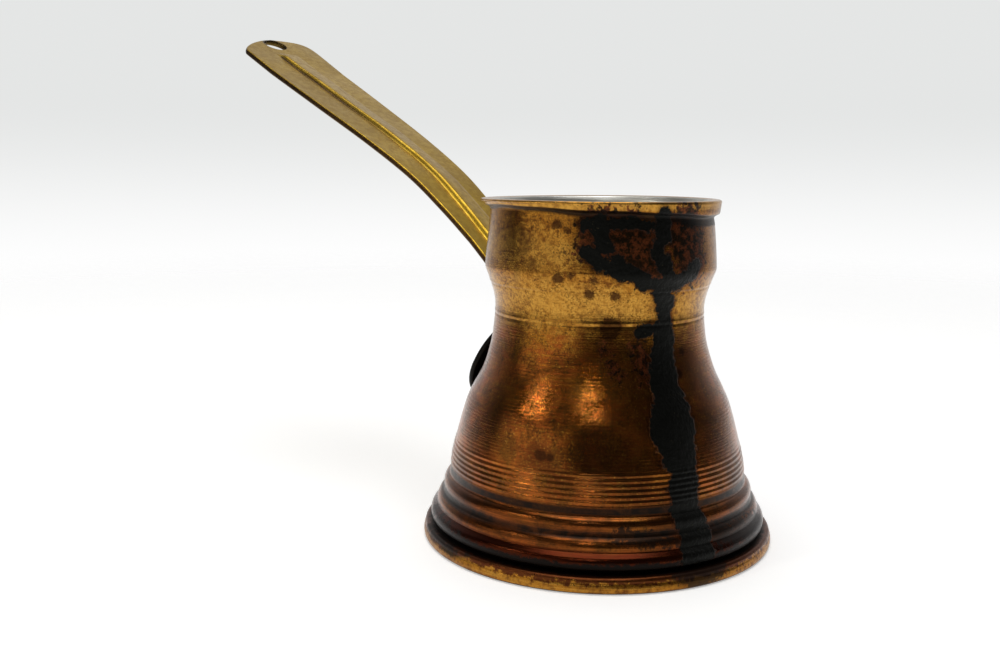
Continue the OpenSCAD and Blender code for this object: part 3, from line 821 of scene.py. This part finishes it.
def tinning():
    """The wiped tin lining, grey, streaky, and tinged with coffee towards the floor and the rim."""
    n = Nodes("tin_lining")
    mid = n.noise(0.35, 5, 0.6, shift=6)
    fine = n.noise(2.2, 4, 0.65, shift=26)
    wipe = n.noise(1.0, 4, 0.6, stretch=(0.10, 0.10, 1.1), shift=1)
    colour = n.mix(n.ramp(wipe, 0.35, 0.68), (0.62, 0.61, 0.57), (0.40, 0.385, 0.345))
    tide = n.ramp(n.math("ADD", n.z, n.ramp(mid, 0.3, 0.7, -5, 5)), 56.0, 60.0)
    tide_mark = n.both(tide, n.ramp(n.z, 66.0, 61.0), 0.55)
    tinge = n.math("MAXIMUM", n.both(n.ramp(n.z, 14.0, 3.0), 0.7), tide_mark)
    colour = n.mix(n.both(tinge, n.ramp(mid, 0.3, 0.65)), colour, (0.16, 0.095, 0.04))
    colour = n.mix(n.both(n.ramp(fine, 0.58, 0.7), 0.5), colour, (0.22, 0.20, 0.16))
    rough = n.ramp(n.math("ADD", n.both(wipe, 0.5), n.both(fine, 0.5)), 0.3, 0.7, 0.28, 0.5)
    ripple = n.bump(n.math("ADD", n.both(wipe, 0.6), n.both(mid, 0.4)), 0.14)
    return n.finish(colour, rough, 1.0, n.bump(fine, 0.02, 1.0, ripple))


def handle_brass():
    """Satin cast brass, dull gold, with painted shade in the crease of the rib, on its -Y edge and in the
    hole, and black and sooty on the pad, with painted shade there.
    """
    n = Nodes("satin_brass_handle")
    broad = n.noise(0.06, 3, 0.5, shift=51)
    mid = n.noise(0.6, 5, 0.62, shift=55)
    fine = n.noise(3.0, 4, 0.7, shift=61)
    grain = n.noise(1.0, 4, 0.62, stretch=(0.25, 2.2, 0.25), shift=17)
    colour = n.mix(n.ramp(mid, 0.30, 0.72), (0.52, 0.335, 0.035), (0.41, 0.24, 0.014))
    colour = n.mix(n.both(n.ramp(broad, 0.4, 0.65), 0.4), colour, (0.31, 0.19, 0.03))
    colour = n.mix(n.both(n.ramp(grain, 0.5, 0.72), 0.22), colour, (0.16, 0.095, 0.03))
    colour = n.mix(n.both(n.ramp(fine, 0.62, 0.72), 0.3), colour, (0.13, 0.075, 0.03))
    # Painted shade in the crease of the rib and on the strap's -Y edge
    crease = n.both(n.field("crease"), n.ramp(fine, 0.2, 0.7, 1.0, 0.75))
    colour = n.mix(n.ramp(crease, 0.12, 0.72), colour, (0.045, 0.022, 0.010))
    worn_edge = n.both(n.ramp(fine, 0.35, 0.6), n.ramp(mid, 0.4, 0.6), 0.25)
    colour = n.mix(worn_edge, colour, (0.20, 0.11, 0.02))
    # Black on the pad below the waist: soot with painted shade
    low = n.math("ADD", n.z, n.ramp(mid, 0.25, 0.75, -2.5, 2.5))
    soot_and_shade = n.ramp(low, 52.0, 45.0)
    # Dark round the hanging hole: painted shade in the hole, with dirt
    off_x = n.math("MULTIPLY", n.math("ADD", n.x, hole_mid[0]), 1.0 / math.cos(END_SLOPE))
    from_hole = n.length(off_x, n.y)
    grime_and_shade = n.both(n.ramp(from_hole, HOLE_R + 0.7, HOLE_R + 0.2), n.ramp(fine, 0.2, 0.6, 1.0, 0.8))
    colour = n.mix(grime_and_shade, colour, (0.03, 0.02, 0.012))
    worn = n.both(n.ramp(fine, 0.58, 0.66), n.ramp(mid, 0.45, 0.6), 0.35)
    colour = n.mix(n.math("SUBTRACT", soot_and_shade, n.both(worn, soot_and_shade)), colour, SOOT_AND_SHADE)
    metal = n.math("SUBTRACT", 1.0, n.both(soot_and_shade, 0.3))
    rough = n.ramp(n.math("ADD", n.both(mid, 0.5), n.both(fine, 0.5)), 0.3, 0.7, 0.27, 0.40)
    rough = n.blend(soot_and_shade, rough, 0.45)
    cast = n.bump(n.math("ADD", n.both(mid, 0.6), n.both(grain, 0.4)), 0.05)
    return n.finish(colour, rough, metal, n.bump(fine, 0.012, 1.0, cast), Specular_IOR_Level=0.25)


def rivet_brass():
    """Brass rivet heads, darker and sooty towards the bottom, with painted shade, as on the pad."""
    n = Nodes("brass_rivet_soot_and_shade")
    mid = n.noise(1.1, 5, 0.65, shift=33)
    fine = n.noise(4.0, 4, 0.7, shift=37)
    colour = n.mix(n.ramp(mid, 0.35, 0.62), (0.42, 0.26, 0.08), (0.16, 0.08, 0.025))
    height = n.math("ADD", n.z, n.ramp(mid, 0.3, 0.7, -3, 3))
    # Darker towards the bottom: soot with painted shade
    soot_and_shade = n.both(n.ramp(height, 52.0, 40.0), n.ramp(fine, 0.3, 0.7, 0.95, 0.6))
    colour = n.mix(soot_and_shade, colour, SOOT_AND_SHADE)
    metal = n.math("SUBTRACT", 1.0, n.both(soot_and_shade, 0.3))
    rough = n.ramp(fine, 0.3, 0.7, 0.35, 0.55)
    return n.finish(colour, rough, metal, n.bump(n.math("ADD", n.both(mid, 0.7), n.both(fine, 0.3)), 0.12))


def solder_tin():
    """Dull grey solder with dirt in it."""
    n = Nodes("dull_solder")
    mid = n.noise(0.9, 5, 0.6, shift=41)
    fine = n.noise(3.5, 4, 0.7, shift=43)
    colour = n.mix(n.ramp(mid, 0.35, 0.65), (0.50, 0.49, 0.46), (0.27, 0.25, 0.21))
    colour = n.mix(n.both(n.ramp(fine, 0.55, 0.7), 0.6), colour, (0.12, 0.08, 0.045))
    rough = n.ramp(mid, 0.3, 0.7, 0.34, 0.56)
    return n.finish(colour, rough, 1.0, n.bump(n.math("ADD", n.both(mid, 0.5), n.both(fine, 0.5)), 0.10))


def pale_floor():
    """A white paper sheet that fades into the room, so that it has no horizon line."""
    n = Nodes("pale_floor")
    tone = n.noise(0.004, 3, 0.5)
    colour = n.mix(tone, (0.91, 0.91, 0.905), (0.94, 0.94, 0.935))
    radius = n.length(n.x, n.y)
    n.put(n.shader.inputs["Alpha"], n.ramp(radius, FADE_FROM, FADE_TO, 1.0, 0.0))
    return n.finish(colour, 0.75, 0.0, n.bump(n.noise(0.4, 4, 0.6), 0.02),
                    Specular_IOR_Level=0.2, Emission_Color=(1.0, 1.0, 1.0, 1.0), Emission_Strength=0.38)


outside, lining = body_brass(), tinning()
for obj, materials in ((body, [outside, lining]), (plate, [base_brass(), lining]),
                       (handle, [handle_brass()]), (seam, [solder_tin()])):
    for m in materials:
        obj.data.materials.append(m)
rivet_look = rivet_brass()
for obj in rivets:
    obj.data.materials.append(rivet_look)

for obj, node, slot in (
        (body, "pot_body", "brass_body"), (plate, "bottom_plate", "brass_base"),
        (seam, "solder_seam", "solder"), (handle, "handle", "brass_handle"),
        (rivets[0], "rivet_waist", "brass_rivet"), (rivets[1], "rivet_pad_upper", "brass_rivet"),
        (rivets[2], "rivet_pad_lower", "brass_rivet")):
    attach(obj, "root")
    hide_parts(node)

# ---------------------------------------------------------------------------------------------
# Floor, light and camera
# ---------------------------------------------------------------------------------------------
floor_profile = np.concatenate([[[0, 0]], resample(np.array([[60.0, 0], [FLOOR_R, 0]]), 60)])
floor = turned("floor_disc", floor_profile, 96, closed=False)
floor.data.transform(Matrix.Translation((0, 0, -0.00005)))
floor.data.materials.append(pale_floor())

CAMERA_AZIMUTH = math.radians(-50.0)
FRONT = (math.cos(CAMERA_AZIMUTH), math.sin(CAMERA_AZIMUTH), 0.0)


def studio_world():
    """A pale room, darker on the side the camera looks from, as in a light tent with an open front."""
    world = bpy.data.worlds.new("pale_room")
    bpy.context.scene.world = world
    world.use_nodes = True
    t = world.node_tree
    t.nodes.clear()
    coords = t.nodes.new("ShaderNodeTexCoord")
    dot = t.nodes.new("ShaderNodeVectorMath")
    dot.operation = "DOT_PRODUCT"
    dot.inputs[1].default_value = FRONT
    t.links.new(coords.outputs["Generated"], dot.inputs[0])
    level = t.nodes.new("ShaderNodeMapRange")
    level.interpolation_type = "SMOOTHSTEP"
    for key, value in (("From Min", -0.95), ("From Max", -0.05), ("To Min", 0.72), ("To Max", 0.11)):
        level.inputs[key].default_value = value
    t.links.new(dot.outputs["Value"], level.inputs["Value"])
    seen = t.nodes.new("ShaderNodeLightPath")
    lit = t.nodes.new("ShaderNodeBackground")
    lit.inputs["Color"].default_value = (1.0, 1.0, 1.0, 1)
    t.links.new(level.outputs[0], lit.inputs["Strength"])
    split = t.nodes.new("ShaderNodeSeparateXYZ")
    t.links.new(coords.outputs["Generated"], split.inputs[0])
    tone = t.nodes.new("ShaderNodeMapRange")
    tone.interpolation_type = "SMOOTHSTEP"
    for key, value in (("From Min", -0.10), ("From Max", 0.06), ("To Min", 1.0), ("To Max", 0.0)):
        tone.inputs[key].default_value = value
    t.links.new(split.outputs[2], tone.inputs["Value"])
    shade = t.nodes.new("ShaderNodeMix")
    shade.data_type = "RGBA"
    shade.inputs[6].default_value = (0.78, 0.79, 0.785, 1)
    shade.inputs[7].default_value = (1.0, 1.0, 1.0, 1)
    t.links.new(tone.outputs[0], shade.inputs["Factor"])
    back = t.nodes.new("ShaderNodeBackground")
    t.links.new(shade.outputs[2], back.inputs["Color"])
    back.inputs["Strength"].default_value = 1.0
    mix = t.nodes.new("ShaderNodeMixShader")
    t.links.new(seen.outputs["Is Camera Ray"], mix.inputs[0])
    t.links.new(lit.outputs[0], mix.inputs[1])
    t.links.new(back.outputs[0], mix.inputs[2])
    out = t.nodes.new("ShaderNodeOutputWorld")
    t.links.new(mix.outputs[0], out.inputs[0])


LIGHT_AIM = Vector((0, 0, 0.035))


def soft_light(name, azimuth, elevation, distance, width, height, power, colour=(1, 1, 1)):
    """A rectangular light that faces the pot. Angles in degrees, sizes in metres, power in watts."""
    light = bpy.data.lights.new(name, "AREA")
    light.shape, light.size, light.size_y = "RECTANGLE", width, height
    light.energy, light.color = power, colour
    obj = bpy.data.objects.new(name, light)
    a, e = math.radians(azimuth), math.radians(elevation)
    towards = Vector((math.cos(a) * math.cos(e), math.sin(a) * math.cos(e), math.sin(e)))
    obj.location = towards * distance + LIGHT_AIM
    obj.rotation_mode = "QUATERNION"
    obj.rotation_quaternion = (obj.location - LIGHT_AIM).to_track_quat("Z", "Y")
    obj.visible_camera = False
    bpy.context.scene.collection.objects.link(obj)
    return obj


studio_world()
soft_light("key_left", -112, 35, 1.0, 0.05, 0.14, 0.70, (1.0, 0.96, 0.85))
soft_light("key_front", -56, 40, 1.0, 0.04, 0.13, 0.50, (1.0, 0.97, 0.88))
soft_light("haze_left", -90, 38, 1.0, 0.7, 0.3, 0.14, (1.0, 0.93, 0.84))
soft_light("low_left", -104, 10, 1.0, 1.2, 0.4, 1.25, (1.0, 0.97, 0.92))
soft_light("overhead", -50, 88, 1.2, 0.9, 0.9, 8.0)

# The camera stands in front of the pot in a frame that is then turned about the vertical
CAMERA_PLACE, CAMERA_TURN = Vector((0, -0.2321, 0.0814)), math.radians(40.0)
camera_data = bpy.data.cameras.new("camera")
camera = bpy.data.objects.new("camera", camera_data)
bpy.context.scene.collection.objects.link(camera)
camera_data.sensor_width, camera_data.lens = 36.0, 37.8
camera_data.clip_start, camera_data.clip_end = 0.01, 20.0
yaw, pitch, roll = (math.radians(v) for v in (-5.42, -8.82, 0.35))
forward = Vector((math.sin(yaw) * math.cos(pitch), math.cos(yaw) * math.cos(pitch), math.sin(pitch)))
level_right = Vector((math.cos(yaw), -math.sin(yaw), 0))
level_up = level_right.cross(forward)
right = level_right * math.cos(roll) + level_up * math.sin(roll)
up = level_up * math.cos(roll) - level_right * math.sin(roll)
turn = Matrix.Rotation(CAMERA_TURN, 3, "Z")
axes = Matrix((turn @ right, turn @ up, turn @ -forward)).transposed()
camera.matrix_world = Matrix.Translation(turn @ CAMERA_PLACE) @ axes.to_4x4()
bpy.context.scene.camera = camera
bpy.context.scene.view_settings.view_transform = "Standard"
